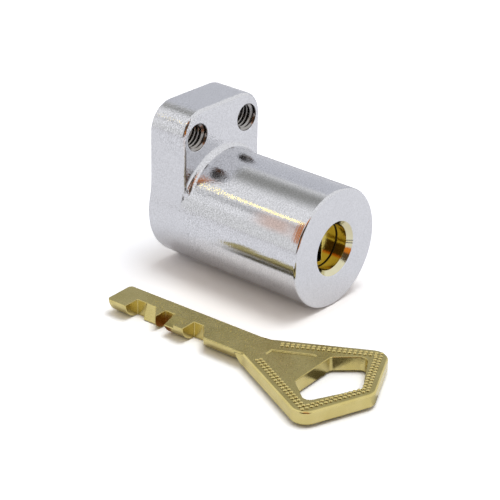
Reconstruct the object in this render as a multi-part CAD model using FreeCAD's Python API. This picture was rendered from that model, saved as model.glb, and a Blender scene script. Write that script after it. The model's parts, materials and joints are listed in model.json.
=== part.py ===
# Screw-on lock cylinder with rotating code discs, and its half-round key.
# Millimetres. The origin is on the cylinder's axis at the rear mounting face.
# The key enters from -Y, +Z points to the flange, and +X is to the right of a
# person who faces the keyhole. Depths are counted from the front face inwards,
# and angles run anticlockwise from +X, seen from the front.
import FreeCAD
import Part
import math
import os
from FreeCAD import Vector

# Body and flange
nose_radius = 11.0
flange_depth = 8.0
flange_half_width = 10.2
flange_top = 20.2
flange_corner_radius = 5.0
waist_radius = 20.0
root_fillet = 1.3
cast_draft = 0.5
front_edge_bevel = 0.45
rear_edge_bevel = 0.2
nose_edge_bevel = 0.3
screw_spacing = 13.2
screw_height = 15.3
screw_radius = 2.5
screw_countersink = 0.1

# Mouth of the keyhole, and the bore behind it
lip_radius = 4.2
lip_depth = 3.0
mouth_chamfer = 0.9
bore_radius = 7.6
bore_chamfer = 0.35

# Clearances
running_clearance = 0.05
disc_clearance = 0.05
face_gap = 0.04
stack_gap = 0.02
key_clearance = 0.1
slide_clearance = 0.03
gate_clearance = 0.06
floor_clearance = 0.1
washer_clearance = 0.1

# Stack from the front to the rear
guide_thickness = 2.0
guard_thickness = 2.5
barrel_front_wall = 1.3
barrel_side_wall = 1.2
disc_thickness = 1.7
spacer_thickness = 0.36
spacer_sides = 16
disc_sides = 28
hole_sides = 24
ring_sides = 48
spigot_length = 1.6
drive_flange_thickness = 1.1
washer_thickness = 0.5
ring_thickness = 0.8
rear_land = 0.54

# Gates, sidebar and stop rib
key_turn = 90.0
gate_depth = 1.1
false_gate_depth = 0.45
false_gate_width = 1.0
false_gate_offset = 36.0
sidebar_width = 1.4
sidebar_end_gap = 0.35
sidebar_bevel = 0.35
sidebar_angle = 180.0
second_groove_angle = 90.0
groove_floor_half_width = 0.6
stop_rib_height = 0.95
stop_rib_width = 1.6
stop_rib_margin = 2.0

# Drive and its retaining ring
boss_radius = 5.2
boss_recess = 0.2
socket_radius = 3.0
socket_depth = 2.9
socket_slot_reach = 4.3
socket_slot_width = 1.5
tip_pocket_depth = 0.7
lug_width = 3.0
lug_clearance = 0.05
ring_groove_depth = 0.6
ring_width = 1.55
ring_gap_angle = 9.0
ring_ear_radius = 1.2
ring_ear_hole_radius = 0.55

# Key: the sector that each cut takes away, in degrees, from the tip to the bow
cut_angles = (0, 0, 90, 72, 0, 90, 18, 0, 90, 0)
# The deep cuts that the cutter leaves on a slant, counted from 0 at the tip
slanted_cuts = (3, 8)
slant = 37.0
key_radius = 3.2
flat_drop = 0.2
tip_lead = 0.1
tip_bevel = 0.5
blade_length = 29.4
bow_thickness = 2.6
bow_half_width = 12.9
bow_widest = 18.6
bow_length = 24.1
bow_corner_round = 2.6
bow_edge_bevel = 0.3
neck_taper = 1.5
neck_round = 2.5
hole_start = 12.1
hole_start_half_width = 5.0
hole_half_width = 8.9
hole_widest = 16.8
hole_end = 21.7
hole_round = 1.2
panel_start = 1.5
panel_end = 10.2
panel_half_width = 4.2
panel_round = 0.5
panel_depth = 0.25
key_tip_x = -25.95
key_tip_y = -7.19
key_heading = -87.05

# Radii worked out from the sizes above
turning_radius = bore_radius - running_clearance
barrel_inner_radius = turning_radius - barrel_side_wall
disc_radius = barrel_inner_radius - disc_clearance
keyway_radius = key_radius + key_clearance
gate_floor = disc_radius - gate_depth
sidebar_inner = gate_floor + floor_clearance
sidebar_outer = turning_radius - running_clearance
sidebar_travel = gate_depth
groove_floor = sidebar_outer + sidebar_travel + 1.5 * floor_clearance
stop_rib_inner = barrel_inner_radius - stop_rib_height
stop_recess_radius = stop_rib_inner - floor_clearance
key_hole_radius = keyway_radius + 2 * key_clearance

# Depths worked out from the stack
disc_count = len(cut_angles)
disc_pitch = disc_thickness + spacer_thickness + 2 * stack_gap
guide_front = lip_depth + face_gap
guard_front = guide_front + guide_thickness + face_gap
barrel_front = guard_front + guard_thickness + face_gap
pack_front = barrel_front + barrel_front_wall
first_disc = pack_front + stack_gap
pack_back = first_disc + (disc_count - 1) * disc_pitch + disc_thickness + stack_gap
drive_flange_front = pack_back + spigot_length
drive_flange_back = drive_flange_front + drive_flange_thickness
barrel_back = drive_flange_front - face_gap
washer_front = drive_flange_back + face_gap
ring_front = washer_front + washer_thickness + face_gap
ring_back = ring_front + ring_thickness
body_length = ring_back + stack_gap + rear_land
flange_front = body_length - flange_depth
turned_back = flange_front - root_fillet
cast_back_radius = nose_radius - (body_length - turned_back) * math.tan(math.radians(cast_draft))


def spot(radius, angle, depth):
    """A point at a radius and an angle about the axis, at a depth."""
    turn = math.radians(angle)
    return Vector(radius * math.cos(turn), depth - body_length, radius * math.sin(turn))


def rod(radius, front, back):
    """A round bar on the axis between two depths."""
    return Part.makeCylinder(radius, back - front, Vector(0, front - body_length, 0), Vector(0, 1, 0))


def tube(outer, inner, front, back):
    return rod(outer, front, back).cut(rod(inner, front, back))


def many_sided(radius, sides, front, back):
    """A bar with many flat sides, whose corners lie on a radius."""
    corners = [spot(radius, 360 * index / sides, front) for index in range(sides)]
    outline = Part.Face(Part.makePolygon(corners + corners[:1]))
    return outline.extrude(Vector(0, back - front, 0))


def flat_washer(outer, inner, sides, front, thickness):
    back = front + thickness
    return many_sided(outer, sides, front, back).cut(many_sided(inner, sides, front, back))


def turned(shape, degrees):
    """A copy turned clockwise about the axis, seen from the front."""
    copy = shape.copy()
    copy.rotate(Vector(0, 0, 0), Vector(0, 1, 0), degrees)
    return copy


def extruded(edges, front, back):
    """A prism from edges drawn at the depth of its front face."""
    face = Part.Face(Part.Wire(Part.__sortEdges__(edges)))
    return face.extrude(Vector(0, back - front, 0))


def wedge(radius, start, end, front, back):
    """A sector of a round bar between two angles."""
    centre = spot(0, 0, front)
    first = spot(radius, start, front)
    last = spot(radius, end, front)
    middle = spot(radius, (start + end) / 2, front)
    arc = Part.Arc(first, middle, last).toShape()
    return extruded([Part.makeLine(centre, first), arc, Part.makeLine(last, centre)], front, back)


def spoke(inner, outer, width, angle, front, back):
    """A flat bar that points away from the axis at an angle."""
    bar = Part.makeBox(outer - inner, back - front, width, Vector(inner, front - body_length, -width / 2))
    return turned(bar, -angle)


def rounded_outline(corners):
    """Edges of a closed outline in the XY plane, from (x, y, rounding) corners."""
    points = [Vector(x, y, 0) for x, y, _ in corners]
    edges = []
    ends = []
    for index, corner in enumerate(points):
        before = (points[index - 1] - corner).normalize()
        after = (points[(index + 1) % len(points)] - corner).normalize()
        radius = corners[index][2]
        half_angle = before.getAngle(after) / 2
        run = radius / math.tan(half_angle)
        start = corner + before * run
        end = corner + after * run
        if radius > 0:
            bisector = (before + after).normalize()
            middle = corner + bisector * (radius / math.sin(half_angle) - radius)
            edges.append(Part.Arc(start, middle, end).toShape())
        ends.append((start, end))
    for index, (_, end) in enumerate(ends):
        edges.append(Part.makeLine(end, ends[(index + 1) % len(ends)][0]))
    return edges


def plate(corners, low, high):
    """A flat plate of a rounded outline between two heights."""
    face = Part.Face(Part.Wire(Part.__sortEdges__(rounded_outline(corners))))
    face.translate(Vector(0, 0, low))
    return face.extrude(Vector(0, 0, high - low))


def flange_prism(front, back, inset=0.0):
    """The flange's outline, whose sides run into the round body by a slight waist."""
    reach = cast_back_radius + waist_radius
    centre_x = flange_half_width + waist_radius
    waist_z = math.sqrt(reach ** 2 - centre_x ** 2)
    touch_angle = math.degrees(math.atan2(waist_z, centre_x))
    half_turn = math.radians(touch_angle / 2)
    middle_x = centre_x - (waist_radius + inset) * math.cos(half_turn)
    middle_z = waist_z - (waist_radius + inset) * math.sin(half_turn)
    y = front - body_length
    side_x = flange_half_width - inset
    top_z = flange_top - inset
    shoulder = flange_top - flange_corner_radius
    bend_x = flange_half_width - flange_corner_radius
    diagonal = (flange_corner_radius - inset) * math.sqrt(0.5)
    edges = [Part.makeLine(Vector(-bend_x, y, top_z), Vector(bend_x, y, top_z))]
    for side in (-1, 1):
        centre = spot(0, 0, front)
        touch = spot(cast_back_radius - inset, touch_angle, front)
        touch.x *= side
        waist = Vector(side * side_x, y, waist_z)
        middle = Vector(side * middle_x, y, middle_z)
        corner = Vector(side * side_x, y, shoulder)
        bend = Vector(side * (bend_x + diagonal), y, shoulder + diagonal)
        top = Vector(side * bend_x, y, top_z)
        edges.append(Part.makeLine(centre, touch))
        edges.append(Part.Arc(touch, middle, waist).toShape())
        edges.append(Part.makeLine(waist, corner))
        edges.append(Part.Arc(corner, bend, top).toShape())
    return extruded(edges, front, back)


def flange():
    """The flange with its front and rear edges broken."""
    block = flange_prism(flange_front, body_length)
    for y, bevel in ((flange_front - body_length, front_edge_bevel), (0, rear_edge_bevel)):
        rim = []
        for edge in block.Edges:
            box = edge.BoundBox
            if box.YLength < 1e-6 and abs(box.YMin - y) < 1e-6 and box.ZMin > 1:
                rim.append(edge)
        block = block.makeChamfer(bevel, rim)
    return block


def root_ring():
    """The concave fillet between the nose and the flange's front face."""
    sunk = root_fillet / 3
    face_y = flange_front - body_length
    edge_y = turned_back - body_length
    rim = nose_radius + root_fillet
    bend = root_fillet * math.sqrt(0.5)
    arc = Part.Arc(Vector(rim, face_y, 0), Vector(rim - bend, edge_y + bend, 0), Vector(nose_radius, edge_y, 0))
    sides = Part.makePolygon([
        Vector(nose_radius, edge_y, 0),
        Vector(nose_radius - sunk, edge_y, 0),
        Vector(nose_radius - sunk, face_y + sunk, 0),
        Vector(rim, face_y + sunk, 0),
        Vector(rim, face_y, 0),
    ])
    profile = Part.Face(Part.Wire(Part.__sortEdges__([arc.toShape()] + sides.Edges)))
    ring = profile.revolve(Vector(0, 0, 0), Vector(0, 1, 0), 360)
    return ring.common(flange_prism(turned_back, body_length, front_edge_bevel))


def round_body():
    """The turned nose and the body behind it, which has a casting's draft; both ends are broken."""
    body = rod(nose_radius, 0, turned_back).fuse(cone(nose_radius, cast_back_radius, turned_back, body_length))
    front_rim = [edge for edge in body.Edges if edge.BoundBox.YMax < 1e-6 - body_length]
    body = body.makeChamfer(nose_edge_bevel, front_rim)
    rear_rim = [edge for edge in body.Edges if edge.BoundBox.YMin > -1e-6]
    return body.makeChamfer(rear_edge_bevel, rear_rim)


def cone(front_radius, back_radius, front, back):
    """A cone on the axis between two depths."""
    return Part.makeCone(front_radius, back_radius, back - front, Vector(0, front - body_length, 0),
                         Vector(0, 1, 0))


def sidebar_groove(angle):
    """A V-sided groove along the bore, broached in from the rear."""
    rise = groove_floor - bore_radius
    mouth = groove_floor_half_width + 2 * rise
    corners = [
        Vector(bore_radius - rise, pack_front - body_length, -mouth),
        Vector(groove_floor, pack_front - body_length, -groove_floor_half_width),
        Vector(groove_floor, pack_front - body_length, groove_floor_half_width),
        Vector(bore_radius - rise, pack_front - body_length, mouth),
    ]
    outline = Part.Face(Part.makePolygon(corners + corners[:1]))
    return turned(outline.extrude(Vector(0, body_length - pack_front, 0)), -angle)


def screw_hole(side):
    """One hole of the flange, with a countersink at its front."""
    y = flange_front - body_length
    wide = screw_radius + screw_countersink
    centre = Vector(side * screw_spacing / 2, y, screw_height)
    hole = Part.makeCylinder(screw_radius, flange_depth, centre, Vector(0, 1, 0))
    return hole.fuse(Part.makeCone(wide, screw_radius, screw_countersink, centre, Vector(0, 1, 0)))


def housing():
    """The one-piece body: nose, flange, keyhole lip and the bore for the works."""
    body = round_body().fuse([flange(), root_ring()])
    inside = rod(bore_radius, lip_depth, body_length)
    cuts = [
        rod(lip_radius, 0, lip_depth),
        cone(lip_radius + mouth_chamfer, lip_radius, 0, mouth_chamfer),
        cone(bore_radius, bore_radius + bore_chamfer, body_length - bore_chamfer, body_length),
        rod(bore_radius + ring_groove_depth, ring_front - stack_gap, ring_back + stack_gap),
        sidebar_groove(sidebar_angle),
        sidebar_groove(second_groove_angle),
        screw_hole(-1),
        screw_hole(1),
    ]
    return body.cut(inside.fuse(cuts)).removeSplitter()


def keyway(bar):
    """The half-moon slot for the key's half-round blade, from a bar of its radius."""
    box = bar.BoundBox
    return bar.cut(Part.makeBox(keyway_radius, box.YLength, box.ZLength, Vector(key_clearance, box.YMin, box.ZMin)))


def guide_disc():
    """The disc seen in the keyhole, which turns with the key from the start."""
    back = guide_front + guide_thickness
    return rod(turning_radius, guide_front, back).cut(keyway(rod(keyway_radius, guide_front, back)))


def drill_guard_disc():
    """The hard disc behind it, which turns with it."""
    back = guard_front + guard_thickness
    disc = many_sided(turning_radius, ring_sides, guard_front, back)
    return disc.cut(keyway(many_sided(keyway_radius, hole_sides, guard_front, back)))


def gate(floor, width, angle, front, back):
    return spoke(floor, disc_radius + gate_depth, width, angle, front, back)


def stop_recess(front, back):
    """The run in a disc's rim that lets it turn as far as the key does."""
    half_rib = math.degrees(math.asin(stop_rib_width / 2 / stop_rib_inner)) + stop_rib_margin
    run = wedge(disc_radius + gate_depth, -half_rib, key_turn + half_rib, front, back)
    return run.cut(many_sided(stop_recess_radius, hole_sides, front, back))


def code_disc(cut_angle, front):
    """A code disc turned to its set place, with its gate under the sidebar."""
    back = front + disc_thickness
    gate_width = sidebar_width + 2 * gate_clearance
    set_turn = key_turn - cut_angle
    disc = many_sided(disc_radius, disc_sides, front, back)
    cuts = [
        turned(keyway(many_sided(keyway_radius, hole_sides, front, back)), set_turn),
        turned(stop_recess(front, back), set_turn),
        gate(gate_floor, gate_width, sidebar_angle, front, back),
    ]
    for side in (-1, 1):
        false_floor = disc_radius - false_gate_depth
        false_angle = sidebar_angle + side * false_gate_offset
        cuts.append(gate(false_floor, false_gate_width, false_angle, front, back))
    return disc.cut(cuts)


def spacer(front):
    """A thin washer that the rib keeps still between two code discs."""
    back = front + spacer_thickness
    return flat_washer(disc_radius, key_hole_radius, spacer_sides, front, spacer_thickness).cut([
        gate(gate_floor, sidebar_width + 2 * gate_clearance, sidebar_angle, front, back),
        gate(stop_recess_radius, stop_rib_width + 2 * gate_clearance, 0, front, back),
    ])


def sidebar():
    """The bar that drops into the gates and frees the barrel."""
    front = first_disc + sidebar_end_gap
    back = pack_back - sidebar_end_gap
    bar = spoke(sidebar_inner, sidebar_outer, sidebar_width, 0, front, back)
    outer_edges = []
    for edge in bar.Edges:
        if edge.BoundBox.XMin > sidebar_outer - 1e-6 and edge.BoundBox.YLength > 1:
            outer_edges.append(edge)
    return turned(bar.makeChamfer(sidebar_bevel, outer_edges), -sidebar_angle)


def barrel():
    """The carrier of the code discs, slotted for the sidebar."""
    shell = tube(turning_radius, barrel_inner_radius, barrel_front, barrel_back)
    front_wall = tube(turning_radius, key_hole_radius, barrel_front, pack_front)
    rib_root = barrel_inner_radius + barrel_side_wall / 2
    rib = spoke(stop_rib_inner, rib_root, stop_rib_width, 0, pack_front, pack_back - stack_gap)
    slot_width = sidebar_width + 2 * slide_clearance
    slot_front = first_disc + sidebar_end_gap - slide_clearance
    slot_back = pack_back - sidebar_end_gap + slide_clearance
    slot = spoke(gate_floor, turning_radius + 1, slot_width, sidebar_angle, slot_front, slot_back)
    cuts = [slot]
    for angle in (0, 180):
        cuts.append(spoke(socket_radius, turning_radius + 1, lug_width, angle, pack_back, barrel_back))
    return shell.fuse([front_wall, rib]).cut(cuts)


def drive():
    """The rear plug that turns with the barrel and drives the mechanism behind."""
    boss_back = body_length - boss_recess
    spigot = many_sided(disc_radius, disc_sides, pack_back, drive_flange_front)
    collar = rod(turning_radius, drive_flange_front, drive_flange_back)
    boss = rod(boss_radius, drive_flange_back, boss_back)
    parts = [collar, boss]
    lug_front = pack_back + lug_clearance
    for angle in (0, 180):
        lug = spoke(socket_radius, turning_radius, lug_width - 2 * lug_clearance, angle, lug_front, drive_flange_front)
        parts.append(lug.common(rod(turning_radius - lug_clearance, lug_front, drive_flange_front)))
    socket_front = boss_back - socket_depth
    cuts = [
        many_sided(key_hole_radius, hole_sides, pack_back, pack_back + tip_pocket_depth),
        rod(socket_radius, socket_front, boss_back),
        spoke(-socket_slot_reach, socket_slot_reach, socket_slot_width, 90, socket_front, boss_back),
    ]
    return spigot.fuse(parts).cut(cuts).removeSplitter()


def retaining_ring():
    """The snap ring that holds the works in the bore, with its two plier ears."""
    outer = bore_radius + ring_groove_depth - running_clearance
    inner = outer - ring_width
    ring = flat_washer(outer, inner, ring_sides, ring_front, ring_thickness)
    ear_angle = ring_gap_angle + math.degrees(ring_ear_radius / inner)
    ring = ring.cut(wedge(outer + 1, 270 - ring_gap_angle, 270 + ring_gap_angle, ring_front, ring_back))
    ears = []
    holes = []
    for side in (-1, 1):
        centre = spot(inner + ring_ear_hole_radius / 2, 270 + side * ear_angle, ring_front)
        ears.append(Part.makeCylinder(ring_ear_radius, ring_thickness, centre, Vector(0, 1, 0)))
        holes.append(Part.makeCylinder(ring_ear_hole_radius, ring_thickness, centre, Vector(0, 1, 0)))
    return ring.fuse(ears).cut(holes).removeSplitter()


def key_sector(angle, start, end):
    """What a cut takes from the blade's near side, in the key's own frame."""
    reach = key_radius + 1
    turn = math.radians(angle)
    first = Vector(start, -reach, flat_drop)
    middle = Vector(start, -reach * math.cos(turn / 2), flat_drop - reach * math.sin(turn / 2))
    last = Vector(start, -reach * math.cos(turn), flat_drop - reach * math.sin(turn))
    axis = Vector(start, 0, flat_drop)
    edges = [Part.makeLine(axis, first), Part.Arc(first, middle, last).toShape(), Part.makeLine(last, axis)]
    face = Part.Face(Part.Wire(Part.__sortEdges__(edges)))
    return face.extrude(Vector(end - start, 0, 0))


def slanted_end(angle, start):
    """What a deep cut takes beyond its disc, where the cutter leaves it on a slant."""
    reach = 4 * key_radius
    block = Part.makeBox(reach, 2 * reach, 2 * reach, Vector(-reach, -reach, -reach))
    block.rotate(Vector(0, 0, 0), Vector(0, 0, 1), slant)
    block.translate(Vector(start, 0, 0))
    return key_sector(angle, start - disc_pitch / 2, start + 2 * disc_pitch).common(block)


def key_blade():
    """The half-round blade with one sector cut for each code disc."""
    along = Vector(1, 0, 0)
    tip = Part.makeCone(key_radius - tip_bevel, key_radius, tip_bevel, Vector(0, 0, flat_drop), along)
    shank = Part.makeCylinder(key_radius, blade_length - tip_bevel, Vector(tip_bevel, 0, flat_drop), along)
    end = Part.makeCone(key_radius, bow_thickness / 2, key_radius, Vector(blade_length, 0, flat_drop), along)
    wide = 2 * key_radius
    lower_half = Part.makeBox(blade_length + wide, 2 * wide, wide, Vector(0, -wide, -wide))
    blade = tip.fuse([shank, end]).common(lower_half)
    cuts = []
    for index, angle in enumerate(cut_angles):
        start = tip_lead + index * disc_pitch
        if angle > 0:
            cuts.append(key_sector(angle, start, start + disc_pitch))
        if index in slanted_cuts:
            cuts.append(slanted_end(angle, start + disc_pitch))
    return blade.cut(cuts)


def key_bow():
    """The five-sided bow with its hole and a plain sunk panel near the neck."""
    root = blade_length - neck_taper
    half_width = math.sqrt(key_radius ** 2 - flat_drop ** 2)
    outline = [
        (root, -half_width, 0),
        (blade_length, -half_width, neck_round),
        (blade_length + bow_widest, -bow_half_width, bow_corner_round),
        (blade_length + bow_length, 0, bow_corner_round),
        (blade_length + bow_widest, bow_half_width, bow_corner_round),
        (blade_length, half_width, neck_round),
        (root, half_width, 0),
    ]
    hole = [
        (blade_length + hole_start, -hole_start_half_width, hole_round),
        (blade_length + hole_widest, -hole_half_width, hole_round),
        (blade_length + hole_end, 0, hole_round),
        (blade_length + hole_widest, hole_half_width, hole_round),
        (blade_length + hole_start, hole_start_half_width, hole_round),
    ]
    panel = [
        (blade_length + panel_start, 0, panel_round),
        (blade_length + panel_end, -panel_half_width, panel_round),
        (blade_length + panel_end, panel_half_width, panel_round),
    ]
    bow = plate(outline, -bow_thickness, 0)
    rims = []
    for edge in bow.Edges:
        box = edge.BoundBox
        if box.ZLength < 1e-6 and box.XMax > root + 1e-6:
            rims.append(edge)
    bow = bow.makeChamfer(bow_edge_bevel, rims)
    reach = bow_length + 2 * neck_taper
    mouth = key_radius + 0.6 * reach
    funnel = Part.makeCone(key_radius, mouth, reach, Vector(root, 0, flat_drop), Vector(1, 0, 0))
    bow = bow.common(funnel)
    return bow.cut([plate(hole, -2 * bow_thickness, bow_thickness), plate(panel, -panel_depth, panel_depth)])


def key():
    """The key, which lies flat side up beside the cylinder."""
    whole = key_blade().fuse(key_bow()).removeSplitter()
    whole.rotate(Vector(0, 0, 0), Vector(0, 0, 1), key_heading)
    whole.translate(Vector(key_tip_x, key_tip_y, key_radius - flat_drop - nose_radius))
    return whole


def sub_parts():
    """Every sub-part by name, in place."""
    parts = {
        "housing": housing(),
        "guide_disc": guide_disc(),
        "drill_guard_disc": drill_guard_disc(),
        "barrel": barrel(),
        "sidebar": sidebar(),
        "drive": drive(),
        "thrust_washer": flat_washer(turning_radius, boss_radius + washer_clearance, disc_sides, washer_front,
                                     washer_thickness),
        "retaining_ring": retaining_ring(),
        "key": key(),
    }
    for index, angle in enumerate(reversed(cut_angles)):
        front = first_disc + index * disc_pitch
        parts["code_disc_%02d" % (index + 1)] = code_disc(angle, front)
        if index < disc_count - 1:
            parts["spacer_%02d" % (index + 1)] = spacer(front + disc_thickness + stack_gap)
    return parts


os.makedirs("parts", exist_ok=True)
for name, shape in sub_parts().items():
    solids = shape.Solids
    print("%-18s solids %d, volume %8.2f mm3, valid %s" % (name, len(solids), shape.Volume, shape.isValid()))
    shape = solids[0] if len(solids) == 1 else Part.makeCompound(solids)
    shape.exportStep("parts/%s.step" % name)
print("body length %.2f mm, disc pitch %.2f mm" % (body_length, disc_pitch))
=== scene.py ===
# %% [markdown]
# # A lock cylinder and its key
#
# This lesson dresses a small lock cylinder for its portrait. The real one is a brass casting with a turned
# nose, plated in satin chrome, with two tapped holes in its flange and bare brass inside the keyhole. Its key
# of nickel silver lies in front of it. The solids come from CAD, so every size and place is already right, and
# what is left for Blender is what the eye notices first: broken edges, threads, the ornament on the key, and
# above all the metals and the light that they mirror.

# %% Load the frame
import json
import math

import bpy
from mathutils import Matrix, Vector

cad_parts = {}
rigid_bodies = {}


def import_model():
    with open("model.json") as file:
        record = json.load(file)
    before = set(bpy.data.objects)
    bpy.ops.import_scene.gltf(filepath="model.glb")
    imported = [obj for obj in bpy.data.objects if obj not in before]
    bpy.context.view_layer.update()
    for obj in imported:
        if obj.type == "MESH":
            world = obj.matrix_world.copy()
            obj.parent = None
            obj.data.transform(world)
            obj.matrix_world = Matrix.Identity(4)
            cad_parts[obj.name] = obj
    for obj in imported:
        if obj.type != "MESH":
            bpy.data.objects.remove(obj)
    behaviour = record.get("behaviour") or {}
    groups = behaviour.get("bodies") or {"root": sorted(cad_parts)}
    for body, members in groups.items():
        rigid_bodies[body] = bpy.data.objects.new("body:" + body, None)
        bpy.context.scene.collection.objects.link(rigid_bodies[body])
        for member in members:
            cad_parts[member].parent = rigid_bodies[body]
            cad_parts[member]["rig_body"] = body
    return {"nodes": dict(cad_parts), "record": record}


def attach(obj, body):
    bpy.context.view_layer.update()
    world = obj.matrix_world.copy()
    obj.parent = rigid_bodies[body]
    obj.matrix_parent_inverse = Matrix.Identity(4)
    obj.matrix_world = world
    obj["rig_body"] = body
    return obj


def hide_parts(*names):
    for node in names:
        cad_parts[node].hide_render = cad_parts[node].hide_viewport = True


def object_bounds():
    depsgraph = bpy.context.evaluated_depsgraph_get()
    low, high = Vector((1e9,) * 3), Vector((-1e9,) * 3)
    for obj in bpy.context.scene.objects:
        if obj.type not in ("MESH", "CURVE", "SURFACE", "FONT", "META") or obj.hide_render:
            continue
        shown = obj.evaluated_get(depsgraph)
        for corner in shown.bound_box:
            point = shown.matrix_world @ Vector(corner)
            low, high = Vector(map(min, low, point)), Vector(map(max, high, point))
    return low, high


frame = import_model()
nodes = frame["nodes"]
cad_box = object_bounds()
MM = 0.001

# %% [markdown]
# ## The camera
#
# The photograph was taken from the left of the keyhole and a little above, with a long lens. A long lens keeps
# parallel edges nearly parallel, which suits a small object, so the camera stands a third of a metre away and
# its focal length is 123 mm. It could be aimed with a Track To constraint, but the photographer held it slightly
# tilted, and a matrix built from the three directions of the camera says that plainly.

# %% Camera
camera_turn = math.radians(-50.171)
camera_rise = math.radians(26.375)
camera_tilt = math.radians(1.345)
camera_distance = 336.29 * MM
camera_target = Vector((18.679, 0.591, -18.777)) * MM


def camera_axes():
    """The camera's right, up and backward directions."""
    back = Vector((
        math.sin(camera_turn) * math.cos(camera_rise),
        -math.cos(camera_turn) * math.cos(camera_rise),
        math.sin(camera_rise),
    ))
    level = Vector((math.cos(camera_turn), math.sin(camera_turn), 0))
    over = back.cross(level)
    right = level * math.cos(camera_tilt) + over * math.sin(camera_tilt)
    up = over * math.cos(camera_tilt) - level * math.sin(camera_tilt)
    return right, up, back


right, up, back = camera_axes()
camera_data = bpy.data.cameras.new("portrait_camera")
camera_data.lens = 122.87
camera_data.sensor_width = 36
camera_data.clip_start = 0.01
camera = bpy.data.objects.new("portrait_camera", camera_data)
bpy.context.scene.collection.objects.link(camera)
place = Matrix((right, up, back)).transposed().to_4x4()
place.translation = camera_target + back * camera_distance
camera.matrix_world = place
bpy.context.scene.camera = camera
print("camera at", [round(v / MM, 1) for v in camera.location], "mm")

# %% [markdown]
# ## A helper for picking things
#
# Operators act on whatever is selected, and the CAD nodes arrive selected. So each step first lets go of
# everything and then takes hold of one piece.

# %% Selection
def take(piece):
    """Select one object alone and make it the active one."""
    if bpy.context.object and bpy.context.object.mode != "OBJECT":
        bpy.ops.object.mode_set(mode="OBJECT")
    bpy.ops.object.select_all(action="DESELECT")
    piece.select_set(True)
    bpy.context.view_layer.objects.active = piece


def apply_modifiers(piece):
    """Make a piece's modifiers part of its mesh."""
    take(piece)
    for modifier in list(piece.modifiers):
        bpy.ops.object.modifier_apply(modifier=modifier.name)


def use_material(piece, *materials):
    """Give a new piece its finishes."""
    piece.data.materials.clear()
    for material in materials:
        piece.data.materials.append(material)


bpy.ops.object.select_all(action="DESELECT")

# %% [markdown]
# ## Building blocks for shaders
#
# A material is a small network of nodes, and every node takes a few lines to add. So the kinds that come back
# in nearly every material get a function each: it takes sockets or plain numbers and hands back the socket with
# the result, and a network then reads almost like a formula. Node groups would save nodes too, but in a script
# a function is easier to follow.

# %% Building blocks for shaders
def math_node(tree, operation, *values):
    """A Math node fed by sockets or plain numbers."""
    node = tree.nodes.new("ShaderNodeMath")
    node.operation = operation
    for socket, value in zip(node.inputs, values):
        if isinstance(value, bpy.types.NodeSocket):
            tree.links.new(value, socket)
        else:
            socket.default_value = value
    return node.outputs[0]


def object_place(tree):
    """Where a point lies, in the object's own coordinates."""
    return tree.nodes.new("ShaderNodeTexCoord").outputs["Object"]


def coordinates(tree, place):
    """The x, y and z of a place."""
    node = tree.nodes.new("ShaderNodeSeparateXYZ")
    tree.links.new(place, node.inputs[0])
    return list(node.outputs)


def distance_from(tree, place, point):
    """How far a place lies from a point."""
    node = tree.nodes.new("ShaderNodeVectorMath")
    node.operation = "DISTANCE"
    node.inputs[1].default_value = point
    tree.links.new(place, node.inputs[0])
    return node.outputs["Value"]


def rescaled(tree, value, low, high, from_low=0.3, from_high=0.7, easing="LINEAR"):
    """Carry a value from one range to another. Noise lies mostly between 0.3 and 0.7."""
    node = tree.nodes.new("ShaderNodeMapRange")
    node.interpolation_type = easing
    node.inputs["From Min"].default_value = from_low
    node.inputs["From Max"].default_value = from_high
    node.inputs["To Min"].default_value = low
    node.inputs["To Max"].default_value = high
    tree.links.new(value, node.inputs["Value"])
    return node.outputs["Result"]


def mixed(tree, share, first, second):
    """A colour on the way from one to another."""
    node = tree.nodes.new("ShaderNodeMix")
    node.data_type = "RGBA"
    node.inputs["A"].default_value = (*first, 1)
    node.inputs["B"].default_value = (*second, 1)
    tree.links.new(share, node.inputs["Factor"])
    return node.outputs["Result"]


def times(tree, colour, factor):
    """A colour made brighter or darker."""
    node = tree.nodes.new("ShaderNodeVectorMath")
    node.operation = "SCALE"
    tree.links.new(colour, node.inputs[0])
    tree.links.new(factor, node.inputs["Scale"])
    return node.outputs[0]


# %% [markdown]
# ## The studio
#
# The object stands on white paper in a white tent. Paper could be a bright emitter, but then it would take no
# shadow, so it is matt, and the camera and the mirrors see it some way whiter than it is, as an overexposed
# photograph would, while the object isn't lit by that. Close to the object its colour is painted a little
# warmer, a painted bounce of the light that the brass throws back, which shows only in the shadows. The tent is
# the
# world: white to the camera and to mirrors, and a softer light for everything matt.

# %% Floor
floor_height = cad_box[0][2]
floor_side = 6
paper_white = (0.945, 0.95, 0.97)
# Painted bounce light: the paper is warmer near the object, standing in for light thrown back by the brass.
paper_painted_bounce = (0.96, 0.92, 0.88)
near_middle = Vector((-4, -20, 0)) * MM
near_until = 12 * MM
white_from = 26 * MM
camera_gain = 0.39
mirror_gain = 0.10


def paper_material():
    """Matt white, whiter than white where it is looked at, so that all but its shadows clips."""
    material = bpy.data.materials.new("white_paper")
    material.use_nodes = True
    tree = material.node_tree
    tree.nodes.clear()
    path = tree.nodes.new("ShaderNodeLightPath")
    gain = math_node(tree, "MULTIPLY_ADD", path.outputs["Is Camera Ray"], camera_gain, 1)
    gain = math_node(tree, "MULTIPLY_ADD", path.outputs["Is Glossy Ray"], mirror_gain, gain)
    away = distance_from(tree, object_place(tree), near_middle)
    white = mixed(tree, rescaled(tree, away, 0, 1, near_until, white_from), paper_painted_bounce, paper_white)
    matt = tree.nodes.new("ShaderNodeBsdfDiffuse")
    tree.links.new(times(tree, white, gain), matt.inputs["Color"])
    out = tree.nodes.new("ShaderNodeOutputMaterial")
    tree.links.new(matt.outputs[0], out.inputs["Surface"])
    return material


bpy.ops.mesh.primitive_plane_add(size=floor_side, location=(0, 0, floor_height))
floor = bpy.context.object
floor.name = "paper"
use_material(floor, paper_material())
print("floor at", round(floor_height / MM, 2), "mm")

# %% Tent
tent_white = (1, 1, 1)
tent_soft = (1, 0.96, 0.94)
tent_light = 0.58


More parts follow.
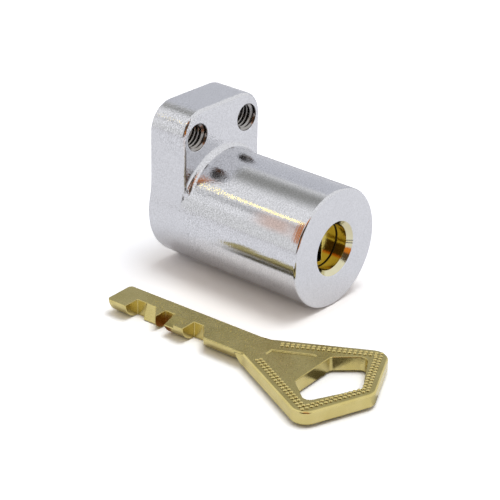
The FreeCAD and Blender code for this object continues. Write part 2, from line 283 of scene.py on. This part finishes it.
def seen_directly(tree):
    """1 for rays that come from the camera, a mirror or glass, and 0 for the rest."""
    path = tree.nodes.new("ShaderNodeLightPath")
    seen = math_node(tree, "MAXIMUM", path.outputs["Is Camera Ray"], path.outputs["Is Glossy Ray"])
    return math_node(tree, "MAXIMUM", seen, path.outputs["Is Transmission Ray"])


def cloth(tree, colour, strength):
    """Even light from all round."""
    node = tree.nodes.new("ShaderNodeBackground")
    node.inputs["Color"].default_value = (*colour, 1)
    node.inputs["Strength"].default_value = strength
    return node.outputs[0]


world = bpy.data.worlds.new("tent")
world.use_nodes = True
tree = world.node_tree
tree.nodes.clear()
choice = tree.nodes.new("ShaderNodeMixShader")
tree.links.new(seen_directly(tree), choice.inputs["Fac"])
tree.links.new(cloth(tree, tent_soft, tent_light), choice.inputs[1])
tree.links.new(cloth(tree, tent_white, 1), choice.inputs[2])
out = tree.nodes.new("ShaderNodeOutputWorld")
tree.links.new(choice.outputs[0], out.inputs["Surface"])
bpy.context.scene.world = world
bpy.context.scene.view_settings.view_transform = "Standard"
print("tent light", tent_light)

# %% [markdown]
# ## Cards and the lamp
#
# Metal shows its shape only by what it mirrors. In a tent that is white all round a cylinder looks flat, so
# photographers hang cards: grey ones behind, beside and on the table, and a dark one above whose edges fade, so
# that the band it draws along the nose is soft. A tiny bright card at the back draws the amber line there. The
# front of the tent is open, and the dark room behind the camera shows in the keyhole and on rounded edges, with
# two orange cards in it. Two embers close to the nose colour its rim and its side, and dark sheets lie beside
# the key. Only mirrors see all these: they cast no shadow and never show. The one lamp is a wide soft box almost
# overhead, a little in front and to the right, so the shadows fall a little to the left. Mirrors don't see it,
# because the tent is there already.

# %% Where things hang
studio_aim = Vector((0, -20, 0)) * MM


def direction(azimuth, elevation):
    """A unit vector from angles in degrees, azimuth counted from +X towards +Y."""
    turn = math.radians(azimuth)
    rise = math.radians(elevation)
    return Vector((math.cos(turn) * math.cos(rise), math.sin(turn) * math.cos(rise), math.sin(rise)))


def facing_in(azimuth, elevation, distance):
    """A matrix that stands an upright card some way from the object, with its face to it."""
    place = studio_aim + direction(azimuth, elevation) * distance
    normal = (studio_aim - place).normalized()
    across = Vector((0, 0, 1)).cross(normal).normalized()
    matrix = Matrix((across, normal.cross(across), normal)).transposed().to_4x4()
    matrix.translation = place
    return matrix


# %% A sheet for mirrors
def feather(tree, share):
    """1 in the middle of a card, falling to 0 at its edges over a share of its half width."""
    fades = [rescaled(tree, math_node(tree, "ABSOLUTE", side), 0, 1, 0.5, 0.5 * (1 - share), "SMOOTHSTEP")
             for side in coordinates(tree, object_place(tree))[:2]]
    return math_node(tree, "MULTIPLY", *fades)


def only_for_mirrors(name, matrix, colour, feathered):
    """A coloured sheet of the size and place in a matrix, which no ray but a mirror's meets."""
    bpy.ops.mesh.primitive_plane_add(size=1)
    sheet = bpy.context.object
    sheet.name = name
    sheet.matrix_world = matrix
    material = bpy.data.materials.new(name)
    material.use_nodes = True
    tree = material.node_tree
    tree.nodes.clear()
    glow = tree.nodes.new("ShaderNodeEmission")
    glow.inputs["Color"].default_value = (*colour, 1)
    surface = glow.outputs[0]
    if feathered:
        blend = tree.nodes.new("ShaderNodeMixShader")
        tree.links.new(feather(tree, feathered), blend.inputs["Fac"])
        tree.links.new(tree.nodes.new("ShaderNodeBsdfTransparent").outputs[0], blend.inputs[1])
        tree.links.new(surface, blend.inputs[2])
        surface = blend.outputs[0]
    out = tree.nodes.new("ShaderNodeOutputMaterial")
    tree.links.new(surface, out.inputs["Surface"])
    use_material(sheet, material)
    sheet.visible_camera = False
    sheet.visible_diffuse = False
    sheet.visible_shadow = False
    sheet.visible_transmission = False
    return sheet


# %% Cards
def card(name, azimuth, elevation, width, height, colour, distance=1.2, feathered=0.0):
    """An upright card. Its width and height are in degrees too, and its distance is in metres."""
    across = 2 * distance * math.tan(math.radians(width) / 2)
    tall = 2 * distance * math.tan(math.radians(height) / 2)
    size = Matrix.Diagonal((across, tall, 1, 1))
    return only_for_mirrors(name, facing_in(azimuth, elevation, distance) @ size, colour, feathered)


def floor_card(name, left, right, front, back, colour, feathered=0.0):
    """A card that lies just above the floor, between four sides in millimetres."""
    above_floor = floor_height + 0.1 * MM
    place = Matrix.Translation(Vector(((left + right) / 2 * MM, (front + back) / 2 * MM, above_floor)))
    size = Matrix.Diagonal(((right - left) * MM, (back - front) * MM, 1, 1))
    only_for_mirrors(name, place @ size, colour, feathered)


def near_card(name, middle, around, long, wide, colour, feathered):
    """A card close to the nose, turned about its axis to face it. Its middle and sides are in millimetres."""
    place = Matrix.Translation(Vector(middle) * MM) @ Matrix.Rotation(math.radians(90 - around), 4, "Y")
    size = Matrix.Diagonal((long * MM, wide * MM, 1, 1))
    only_for_mirrors(name, place @ size, colour, feathered)


card("grey_card", 40, 13, 78, 60, (0.68, 0.69, 0.73))
floor_card("grey_sheet", 34, 334, -16, 300, (0.60, 0.60, 0.64))
# Painted shade for mirrors: a dark sheet along the key's far side and a dark brown one under its pocket stand
# for the shade there.
floor_card("key_shade", -22.6, -18.8, -66, -4, (0.10, 0.09, 0.06), feathered=0.35)
floor_card("pocket_shade", -29.5, -24.5, -20.7, -17.6, (0.18, 0.065, 0.025), feathered=0.4)
card("dark_card", 72, 53, 46, 34, (0.37, 0.37, 0.35), distance=1.1, feathered=0.9)
card("side_card", 137, 33, 9, 8, (0.60, 0.60, 0.60), distance=1.1)
card("low_side_card", 152, 8, 34, 20, (0.88, 0.88, 0.87), distance=1.1)
dark_room = card("dark_room", 219, 20, 72, 52, (0.10, 0.065, 0.04), distance=1.3)
dark_room.visible_diffuse = True
card("orange_card", 222, 50, 24, 10, (1.0, 0.30, 0.035), distance=1.0)
card("low_orange_card", 238, 7, 18, 22, (0.80, 0.24, 0.02), feathered=0.4)
card("amber_strip", 133.6, 41.8, 2.0, 1.5, (10.0, 7.3, 0.4), distance=0.405)
near_card("ember", (-17.4, -28.4, 11.5), 146.5, 12.5, 5.6, (0.62, 0.19, 0.03), feathered=0.3)
near_card("ember_glow", (-17.8, -21.0, 11.8), 146.5, 11, 12, (0.84, 0.66, 0.58), feathered=0.8)

# %% Soft box
lamp_data = bpy.data.lights.new("soft_box", "AREA")
lamp_data.shape = "SQUARE"
lamp_data.size = 0.5
lamp_data.energy = 4.4
lamp_data.color = (0.95, 1, 1.04)
lamp = bpy.data.objects.new("soft_box", lamp_data)
bpy.context.scene.collection.objects.link(lamp)
lamp.matrix_world = facing_in(315, 80, 1.0) @ Matrix.Rotation(math.pi, 4, "X")
lamp.visible_glossy = False
print("soft box at", [round(v, 2) for v in lamp.matrix_world.translation], "m")

# %% [markdown]
# ## The metals
#
# A metal's colour is the colour of its reflections, and its finish is how far it scatters them. Each one here
# is the same recipe with its own numbers: a base colour, a roughness that wanders a little, a grain that is as
# fine as the real one, and fine rings where a lathe has passed. The rings are read from the distance to the
# axis and the depth along it, so they run round the nose and across its face as on the real part. An image
# texture could do this too, but noise in object coordinates needs no unwrapping and holds at any zoom.

# %% Texture on metal
streak_length = 25
streak_size = 0.16 * MM
streak_slope = 0.10


def noise(tree, place, size, detail=2.0):
    """Noise whose features are about as wide as a size in metres."""
    node = tree.nodes.new("ShaderNodeTexNoise")
    node.inputs["Scale"].default_value = 1 / size
    node.inputs["Detail"].default_value = detail
    tree.links.new(place, node.inputs["Vector"])
    return node.outputs["Fac"]


def bump(tree, height, distance, normal):
    """Raise the surface by a height of up to a distance in metres, on top of the bumps that it has."""
    node = tree.nodes.new("ShaderNodeBump")
    node.inputs["Strength"].default_value = 1
    node.inputs["Distance"].default_value = distance
    tree.links.new(height, node.inputs["Height"])
    if normal is not None:
        tree.links.new(normal, node.inputs["Normal"])
    return node.outputs["Normal"]


def lathe_place(tree, place):
    """Coordinates in which noise turns into rings round the axis: radius, depth, and nothing else."""
    x, y, z = coordinates(tree, place)
    square = math_node(tree, "ADD", math_node(tree, "MULTIPLY", x, x), math_node(tree, "MULTIPLY", z, z))
    join = tree.nodes.new("ShaderNodeCombineXYZ")
    tree.links.new(math_node(tree, "SQRT", square), join.inputs[0])
    tree.links.new(y, join.inputs[1])
    return join.outputs[0]


def brush_place(tree, place, heading):
    """Coordinates in which noise is drawn out along one direction on the floor, as a brush leaves it."""
    turn = tree.nodes.new("ShaderNodeMapping")
    turn.vector_type = "TEXTURE"
    turn.inputs["Rotation"].default_value = (0, 0, heading)
    turn.inputs["Scale"].default_value = (streak_length, 1, 1)
    tree.links.new(place, turn.inputs["Vector"])
    return turn.outputs[0]


# %% [markdown]
# ## The cast surface
#
# Plating doesn't hide what is under it. The nose is turned and smooth, but towards the flange the casting's
# skin shows through the chrome as coarse grit and small pits, most of all at the nose's root and at the flange's
# left corner. Each fade below gives two values and the two depths along the axis, or for the corner the two
# distances, between which the surface goes from one to the other.

# %% The cast surface
grit_fade = (0, 1, -22 * MM, -10 * MM)
nose_fade = (0.6, 1, -34 * MM, -13 * MM)
face_fade = (0.5, 1, -34.15 * MM, -34.0 * MM)
flange_fade = (1, 0.45, -9.5 * MM, -8 * MM)
corner_fade = (0.9, 0, 1.5 * MM, 6 * MM)
rough_corner = Vector((-9.5, -5.5, 18)) * MM
grit_size = 0.30 * MM
grit_least = 0.04
grit_scatter = 0.05
pit_size = 0.22 * MM
pit_tones = (-0.30, 0.24)


def pitted_share(tree, place, depth):
    """How pitted the casting is: most at the root of the nose and at the flange's left corner."""
    nose = rescaled(tree, depth, *nose_fade)
    face = rescaled(tree, depth, *face_fade)
    flange = rescaled(tree, depth, *flange_fade)
    corner = rescaled(tree, distance_from(tree, place, rough_corner), *corner_fade)
    share = math_node(tree, "MULTIPLY", math_node(tree, "MULTIPLY", nose, face), flange)
    return math_node(tree, "ADD", share, corner)


def pitted_colour(tree, place, depth, colour):
    """A colour with small pits, darker and brighter than it."""
    pits = rescaled(tree, noise(tree, place, pit_size), *pit_tones)
    tone = math_node(tree, "MULTIPLY", pits, pitted_share(tree, place, depth))
    return times(tree, colour, math_node(tree, "ADD", tone, 1.0))


# %% The recipe for a metal
patch_size = 2.5 * MM
patch_tint = 0.93
cloud_size = 0.6 * MM
cloud_low = 0.85
cloud_high = 1.15
wave_size = 5 * MM
ring_size = 0.14 * MM
fine_grain = 0.18 * MM


def metal(name, colour, roughness, grain=0.0, grain_size=fine_grain, rings=0.0, waviness=0.0, tint=None,
          blasted=0.0, brushed=None):
    """A metal with grain, lathe rings and slow waves, each given as the slope that it tilts the surface by.

    Its colour wanders towards the tint in patches, and its roughness in smaller clouds. A blasted metal also
    has grit and pits, and a brushed one has streaks along a heading.
    """
    material = bpy.data.materials.new(name)
    material.use_nodes = True
    tree = material.node_tree
    shader = tree.nodes["Principled BSDF"]
    shader.inputs["Metallic"].default_value = 1
    place = object_place(tree)
    patches = rescaled(tree, noise(tree, place, patch_size), 0, 1)
    shade = mixed(tree, patches, colour, tint or [c * patch_tint for c in colour])
    clouds = noise(tree, place, cloud_size)
    scatter = rescaled(tree, clouds, roughness * cloud_low, roughness * cloud_high)
    normal = None
    if waviness:
        normal = bump(tree, noise(tree, place, wave_size, 1), waviness * wave_size, normal)
    if rings:
        normal = bump(tree, noise(tree, lathe_place(tree, place), ring_size), rings * ring_size, normal)
    if grain:
        normal = bump(tree, noise(tree, place, grain_size), grain * grain_size, normal)
    if blasted:
        depth = coordinates(tree, place)[1]
        share = rescaled(tree, depth, *grit_fade)
        scatter = math_node(tree, "ADD", scatter, math_node(tree, "MULTIPLY", share, grit_scatter))
        grit = math_node(tree, "MULTIPLY", noise(tree, place, grit_size, 1),
                         math_node(tree, "ADD", share, grit_least))
        normal = bump(tree, grit, blasted * grit_size, normal)
        shade = pitted_colour(tree, place, depth, shade)
    if brushed is not None:
        streaks = noise(tree, brush_place(tree, place, brushed), streak_size)
        normal = bump(tree, streaks, streak_slope * streak_size, normal)
    tree.links.new(shade, shader.inputs["Base Color"])
    tree.links.new(scatter, shader.inputs["Roughness"])
    if normal is not None:
        tree.links.new(normal, shader.inputs["Normal"])
    return material


# %% The finishes
key_heading = math.radians(-87.05)
satin_chrome = metal("satin_chrome", (0.675, 0.68, 0.71), roughness=0.08, grain=0.02, grain_size=0.24 * MM,
                     rings=0.06, waviness=0.003, tint=(0.655, 0.66, 0.69), blasted=0.09)
# A darker chrome: in the tapped holes and on their threads it is painted shade of the deep holes, and on the
# strip down the flange's left front edge it is only darker.
darkened_chrome = metal("darkened_chrome", (0.40, 0.39, 0.39), roughness=0.20, grain=0.05, tint=(0.30, 0.28, 0.26))
bare_brass = metal("bare_brass", (0.60, 0.49, 0.13), roughness=0.12, grain=0.03, rings=0.06,
                   tint=(0.54, 0.42, 0.09))
chamfer_brass = metal("chamfer_brass", (0.70, 0.665, 0.47), roughness=0.12, rings=0.08, tint=(0.66, 0.61, 0.40))
# Painted shade: a near black for the shaded corner round the guide disc.
painted_gap_shade = metal("painted_gap_shade", (0.06, 0.045, 0.02), roughness=0.5)
hard_steel = metal("hard_steel", (0.56, 0.56, 0.57), roughness=0.28, grain=0.05, rings=0.06)
ground_steel = metal("ground_steel", (0.62, 0.62, 0.63), roughness=0.22, rings=0.08)
plain_bronze = metal("plain_bronze", (0.66, 0.45, 0.24), roughness=0.25, rings=0.08, tint=(0.60, 0.38, 0.20))
dark_spring = metal("dark_spring", (0.16, 0.16, 0.17), roughness=0.35, grain=0.08)
nickel_silver = metal("nickel_silver", (0.68, 0.58, 0.25), roughness=0.22, grain=0.04, grain_size=0.30 * MM,
                      waviness=0.03, tint=(0.62, 0.52, 0.20))
# The key's flat faces: nickel silver painted darker as painted shade, with the streaks of a brush.
shaded_brushed_silver = metal("shaded_brushed_silver", (0.47, 0.40, 0.16), roughness=0.28, grain=0.012,
                       grain_size=0.30 * MM, waviness=0.02, tint=(0.42, 0.355, 0.13), brushed=key_heading)
finishes = {
    "satin_chromed_brass": satin_chrome,
    "turned_brass": bare_brass,
    "hardened_steel": hard_steel,
    "ground_steel": ground_steel,
    "bronze": plain_bronze,
    "spring_steel": dark_spring,
    "key_nickel_silver": nickel_silver,
}
for subpart in frame["record"]["subparts"]:
    for slot in nodes[subpart["node"]].material_slots:
        slot.material = finishes[subpart["material_slot"]]
print("finishes:", len(finishes))

# %% [markdown]
# ## Broken edges
#
# No machined part has a perfectly sharp edge, and the thin bright line along each edge is what makes metal look
# solid. The CAD mesh is loose triangles, so a copy of it is merged and its flat faces are joined, and then a
# Bevel modifier rounds every corner sharper than 30 degrees, each as far as its weight says: the flange's left
# front corner is worn softest, and the rims of the holes are crisp. Rebuilding the body by hand would give
# neater faces, but the copy keeps the CAD sizes exactly, and the bevel only cuts inwards.

# %% Soft copies of CAD nodes
weld_distance = 0.02 * MM
flat_angle = math.radians(0.3)
sharp_angle = math.radians(30)
edge_steps = 3


def copy_of_node(node, name):
    """A copy of a CAD node with its doubled corners merged and its flat faces joined."""
    piece = bpy.data.objects.new(name, nodes[node].data.copy())
    bpy.context.scene.collection.objects.link(piece)
    take(piece)
    bpy.ops.mesh.customdata_custom_splitnormals_clear()
    bpy.ops.object.mode_set(mode="EDIT")
    bpy.ops.mesh.select_all(action="SELECT")
    bpy.ops.mesh.remove_doubles(threshold=weld_distance)
    bpy.ops.mesh.dissolve_limited(angle_limit=flat_angle)
    bpy.ops.object.mode_set(mode="OBJECT")
    return piece


def break_edges(piece, width, width_at=None):
    """Round every edge sharper than the sharp angle, by the width or by what width_at says of its ends.

    The bevel takes one width, so a smaller one is a weight below 1. Rounding errors are put back into the box.
    """
    take(piece)
    bpy.ops.object.shade_smooth()
    bpy.ops.object.mode_set(mode="EDIT")
    bpy.ops.mesh.select_mode(type="EDGE")
    bpy.ops.mesh.select_all(action="DESELECT")
    bpy.ops.mesh.edges_select_sharp(sharpness=sharp_angle)
    bpy.ops.object.mode_set(mode="OBJECT")
    mesh = piece.data
    weights = mesh.attributes.new("bevel_weight_edge", "FLOAT", "EDGE")
    for edge, weight in zip(mesh.edges, weights.data):
        if edge.select:
            ends = [mesh.vertices[v].co for v in edge.vertices]
            weight.value = max(width_at(end) for end in ends) / width if width_at else 1
    bevel = piece.modifiers.new("broken_edges", "BEVEL")
    bevel.width = width
    bevel.segments = edge_steps
    bevel.limit_method = "WEIGHT"
    bevel.use_clamp_overlap = False
    bevel.harden_normals = True
    apply_modifiers(piece)
    low, high = cad_box
    for vertex in mesh.vertices:
        vertex.co = [min(max(value, a), b) for value, a, b in zip(vertex.co, low, high)]


def stand_for(piece, node):
    """Let a new piece take a CAD node's place on its body, and hide the node."""
    cad = nodes[node]
    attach(piece, cad["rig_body"])
    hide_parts(node)
    print(piece.name, "faces", len(piece.data.polygons), "stands for", node)


# %% The housing's edges
hole_height = 15.3 * MM
hole_offset = 6.6 * MM
hole_rim = 2.9 * MM
bore_rim = 8.3 * MM
crisp_edge = 0.07 * MM
plain_edge = 0.19 * MM
soft_edge = 0.30 * MM
soft_right = -5.5 * MM
soft_back = -7.9 * MM
soft_bottom = 13 * MM


def from_hole(x, z):
    """How far a point is from the axis of the nearer screw hole."""
    return math.hypot(abs(x) - hole_offset, z - hole_height)


def edge_width(point):
    """Crisp in the mouth, the bore and the screw holes, soft at the flange's left corner, plain elsewhere."""
    if from_hole(point.x, point.z) < hole_rim or math.hypot(point.x, point.z) < bore_rim:
        return crisp_edge
    if point.x < soft_right and point.y < soft_back and point.z > soft_bottom:
        return soft_edge
    return plain_edge


housing_shell = copy_of_node("housing", "housing_shell")
break_edges(housing_shell, soft_edge, edge_width)
print("housing faces", len(housing_shell.data.polygons))

# %% [markdown]
# ## Where the plating stops
#
# Chrome covers the outside only. Inside the keyhole and the bore the brass is bare, and paler on the mouth's
# chamfer. The tapped holes are painted darker, as painted shade of the deep holes, and a strip down the
# flange's left front edge is darker too. Each face gets its finish by where its middle lies.

# %% Plating
chrome_index, brass_index, chamfer_index, darkened_index = range(4)
mouth_radius = 5.12 * MM
nose_face = -34.15 * MM
chamfer_start = -33.3 * MM
lip_back = -31.3 * MM
rear_face = -0.02 * MM
hole_wall = 2.55 * MM
dark_line_right = -9.5 * MM
dark_line_depths = (-8.1 * MM, -7.9 * MM)
dark_line_heights = (5.4 * MM, 14.5 * MM)


def plating(x, y, z):
    """The index of the finish that the housing has at a place."""
    radius = math.hypot(x, z)
    in_mouth = radius < mouth_radius and y > nose_face
    in_bore = radius < bore_rim and lip_back < y < rear_face
    if in_mouth or in_bore:
        return chamfer_index if in_mouth and y < chamfer_start else brass_index
    # The darker faces: the walls of the tapped holes, which are painted shade, and a strip down the flange's
    # left front edge.
    on_dark_line = (x < dark_line_right and dark_line_depths[0] < y < dark_line_depths[1]
                    and dark_line_heights[0] < z < dark_line_heights[1])
    return darkened_index if on_dark_line or from_hole(x, z) < hole_wall else chrome_index


use_material(housing_shell, satin_chrome, bare_brass, chamfer_brass, darkened_chrome)
for face in housing_shell.data.polygons:
    face.material_index = plating(*face.center)
stand_for(housing_shell, "housing")

# %% [markdown]
# ## The other broken edges
#
# Of the other pieces only those that show from outside need soft edges. The guide disc, the drive and the ring
# are stamped or turned and keep crisper ones. The key was tumbled, so its edges are softer, and its flat faces
# show the streaks of a brush and are painted darker than its sides, as painted shade.

# %% Guide disc, drive, ring and key
edge_widths = {"guide_disc": 0.10 * MM, "drive": 0.08 * MM, "retaining_ring": 0.06 * MM, "key": 0.14 * MM}
flat_enough = 0.9
for node, width in edge_widths.items():
    soft_piece = copy_of_node(node, node + "_edges")
    break_edges(soft_piece, width)
    use_material(soft_piece, *[slot.material for slot in nodes[node].material_slots])
    if node == "key":
        # Flat faces take the darker copy, painted shade; the sides keep the brighter nickel silver.
        soft_piece.data.materials.append(shaded_brushed_silver)
        for face in soft_piece.data.polygons:
            face.material_index = 1 if abs(face.normal.z) > flat_enough else 0
    stand_for(soft_piece, node)

# %% [markdown]
# ## Index marks
#
# Two fine dark lines are scribed across the mouth's chamfer on the right, where the key points when the lock is
# at rest. Each is a thin sliver that follows the chamfer's slope.

# %% Index marks
chamfer_middle = Vector((4.65, -33.75, 0)) * MM
chamfer_slope = math.radians(-45)
mark_size = (1.22 * MM, 0.05 * MM, 0.13 * MM)
mark_angles = (2, 8)
for number, angle in enumerate(mark_angles, start=1):
    bpy.ops.mesh.primitive_cube_add(size=1)
    mark = bpy.context.object
    mark.name = "index_mark_%d" % number
    bpy.ops.object.mode_set(mode="EDIT")
    bpy.ops.transform.resize(value=mark_size)
    bpy.ops.mesh.subdivide(number_cuts=1)
    bpy.ops.object.mode_set(mode="OBJECT")
    slope = Matrix.Rotation(chamfer_slope, 4, "Z")
    turn = Matrix.Rotation(math.radians(angle), 4, "Y")
    mark.data.transform(turn @ Matrix.Translation(chamfer_middle) @ slope)
    use_material(mark, dark_spring)
    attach(mark, "housing")
    print(mark.name, [round(v / MM, 2) for v in mark.data.vertices[0].co])

# %% [markdown]
# ## The line round the disc
#
# Where the keyhole's wall meets the guide disc the corner lies in shade and reads as a fine dark line, so a
# thin dark ring is laid into that corner as painted shade. Darkening the disc's rim in its material would turn
# with the disc, and the ring stays where the wall is.

# %% Painted shade ring
corner_radius = 4.2 * MM
disc_face = -31.2 * MM
tube_radius = 0.10 * MM
ring_centre_depth = disc_face - 0.06 * MM
bpy.ops.mesh.primitive_torus_add(major_radius=corner_radius, minor_radius=tube_radius, major_segments=96,
                                 minor_segments=8)
shade_ring = bpy.context.object
shade_ring.name = "shade_ring"
shade_ring.data.transform(Matrix.Translation((0, ring_centre_depth, 0)) @ Matrix.Rotation(math.pi / 2, 4, "X"))
bpy.ops.object.shade_smooth()
use_material(shade_ring, painted_gap_shade)
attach(shade_ring, "housing")
print("shade ring faces", len(shade_ring.data.polygons))

# %% [markdown]
# ## Screw threads
#
# The CAD holes are plain, at the outer radius of an M5 thread. The real ones are tapped, and their bright
# ridges show from a step away. A ridge is a trapezium wound along a helix: the Screw modifier does the winding
# in one go, where a chain of copied rings would never close into a real thread.

# %% Threads
thread_pitch = 0.8 * MM
thread_turns = 9
thread_root = 2.54 * MM
thread_crest = 2.08 * MM
thread_start = -7.70 * MM
thread_front = -7.80 * MM
thread_back = -0.10 * MM
foot_width = thread_pitch * 0.80
crest_share = 0.12
steps_per_turn = 32
run_out = 1.1
same_point = 0.001 * MM


def thread(name, x):
    """The ridge of a tapped hole, wound about an axis along Y. At both ends it runs out into the wall."""
    bpy.ops.mesh.primitive_plane_add(size=1, location=(0, 0, 0))
    ridge = bpy.context.object
    ridge.name = name
    bpy.ops.object.mode_set(mode="EDIT")
    bpy.ops.transform.resize(value=(thread_root - thread_crest, foot_width, 1))
    bpy.ops.transform.translate(value=((thread_root + thread_crest) / 2, thread_start, 0))
    bpy.ops.mesh.select_all(action="DESELECT")
    bpy.ops.object.mode_set(mode="OBJECT")
    for vertex in ridge.data.vertices:
        vertex.select = vertex.co.x < (thread_root + thread_crest) / 2
    bpy.ops.object.mode_set(mode="EDIT")
    bpy.ops.transform.resize(value=(1, crest_share, 1))
    bpy.ops.object.mode_set(mode="OBJECT")
    winding = ridge.modifiers.new("winding", "SCREW")
    winding.axis = "Y"
    winding.angle = 2 * math.pi * thread_turns
    winding.screw_offset = thread_pitch * thread_turns
    winding.steps = winding.render_steps = thread_turns * steps_per_turn
    winding.use_smooth_shade = False
    apply_modifiers(ridge)
    bpy.ops.object.mode_set(mode="EDIT")
    bpy.ops.mesh.select_all(action="SELECT")
    bpy.ops.mesh.remove_doubles(threshold=same_point)
    bpy.ops.mesh.fill_holes(sides=4)
    bpy.ops.mesh.select_all(action="SELECT")
    bpy.ops.mesh.normals_make_consistent(inside=False)
    bpy.ops.object.mode_set(mode="OBJECT")
    for vertex in ridge.data.vertices:
        x_now, y, z_now = vertex.co
        inside = min(y - thread_front, thread_back - y)
        least = min(thread_root, max(thread_crest, thread_root - run_out * inside))
        stretch = max(1, least / math.hypot(x_now, z_now))
        vertex.co = (x_now * stretch, y, z_now * stretch)
    ridge.location = (x, 0, hole_height)
    bpy.ops.object.transform_apply(location=True, rotation=False, scale=False)
    bpy.ops.object.shade_smooth_by_angle(angle=sharp_angle)
    use_material(ridge, darkened_chrome)
    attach(ridge, "housing")
    print(name, "faces", len(ridge.data.polygons))


thread("left_thread", -hole_offset)
thread("right_thread", hole_offset)

# %% [markdown]
# ## The bow's border
#
# Two rows of small raised beads follow the edge of the bow on both faces. One bead is modelled, and copies of
# it are set along two outlines drawn inside the bow's own. A row of domes in a bump map would look the same
# from far off, but not against the light.

# %% Beads
key_tip = Vector((-25.95, -7.19, -8.0)) * MM
blade_length = 29.4 * MM
bow_thickness = 2.6 * MM
bow_outline = [Vector(p) * MM for p in ((0, -3.2), (18.6, -12.9), (24.1, 0), (18.6, 12.9), (0, 3.2))]
bead_radius = 0.35 * MM
bead_height = 0.21 * MM
bead_sunk = 0.03 * MM
bead_spacing = 0.86 * MM
bead_rows = (1.30 * MM, 2.02 * MM)
row_margin = 3.2 * MM
dome_angle = math.radians(50)
just_below = -0.0001 * MM
key_frame = Matrix.Translation(key_tip) @ Matrix.Rotation(key_heading, 4, "Z")


def drawn_in(outline, distance):
    """An open outline moved inwards by a distance."""
    lines = []
    for start, end in zip(outline, outline[1:]):
        along = (end - start).normalized()
        inward = Vector((-along.y, along.x)) * distance
        lines.append((start + inward, along))
    path = [lines[0][0]]
    for (p, u), (q, v) in zip(lines, lines[1:]):
        reach = ((q - p).x * v.y - (q - p).y * v.x) / (u.x * v.y - u.y * v.x)
        path.append(p + u * reach)
    last_start, last_along = lines[-1]
    path.append(last_start + last_along * (outline[-1] - outline[-2]).length)
    return path


def stations(path, spacing, start):
    """Points along a path at even steps, from a distance after its start to the same before its end."""
    lengths = [(b - a).length for a, b in zip(path, path[1:])]
    total = sum(lengths) - 2 * start
    count = round(total / spacing)
    places = []
    for index in range(count + 1):
        left = start + total * index / count
        for (a, b), length in zip(zip(path, path[1:]), lengths):
            if left <= length:
                places.append(a + (b - a) * left / length)
                break
            left -= length
    return places


# %% One bead and its copies
bpy.ops.mesh.primitive_uv_sphere_add(segments=8, ring_count=6, radius=bead_radius)
bead = bpy.context.object
bpy.ops.object.mode_set(mode="EDIT")
bpy.ops.mesh.bisect(plane_co=(0, 0, just_below), plane_no=(0, 0, 1), clear_inner=True, use_fill=True)
bpy.ops.mesh.select_all(action="SELECT")
bpy.ops.transform.resize(value=(1, 1, bead_height / bead_radius))
bpy.ops.object.mode_set(mode="OBJECT")
bpy.ops.object.shade_smooth_by_angle(angle=dome_angle)
beads = []
for inset in bead_rows:
    for spot in stations(drawn_in(bow_outline, inset), bead_spacing, row_margin):
        for face_height, flip in ((-bead_sunk, 0), (bead_sunk - bow_thickness, math.pi)):
            copy = bead.copy()
            copy.data = bead.data.copy()
            bpy.context.scene.collection.objects.link(copy)
            seat = Matrix.Translation((blade_length + spot.x, spot.y, face_height))
            copy.data.transform(key_frame @ seat @ Matrix.Rotation(flip, 4, "X"))
            beads.append(copy)
bpy.data.objects.remove(bead)
take(beads[0])
for copy in beads:
    copy.select_set(True)
bpy.ops.object.join()
bow_beads = bpy.context.object
bow_beads.name = "bow_beads"
use_material(bow_beads, nickel_silver)
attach(bow_beads, "housing")
print("beads", len(beads), "faces", len(bow_beads.data.polygons))
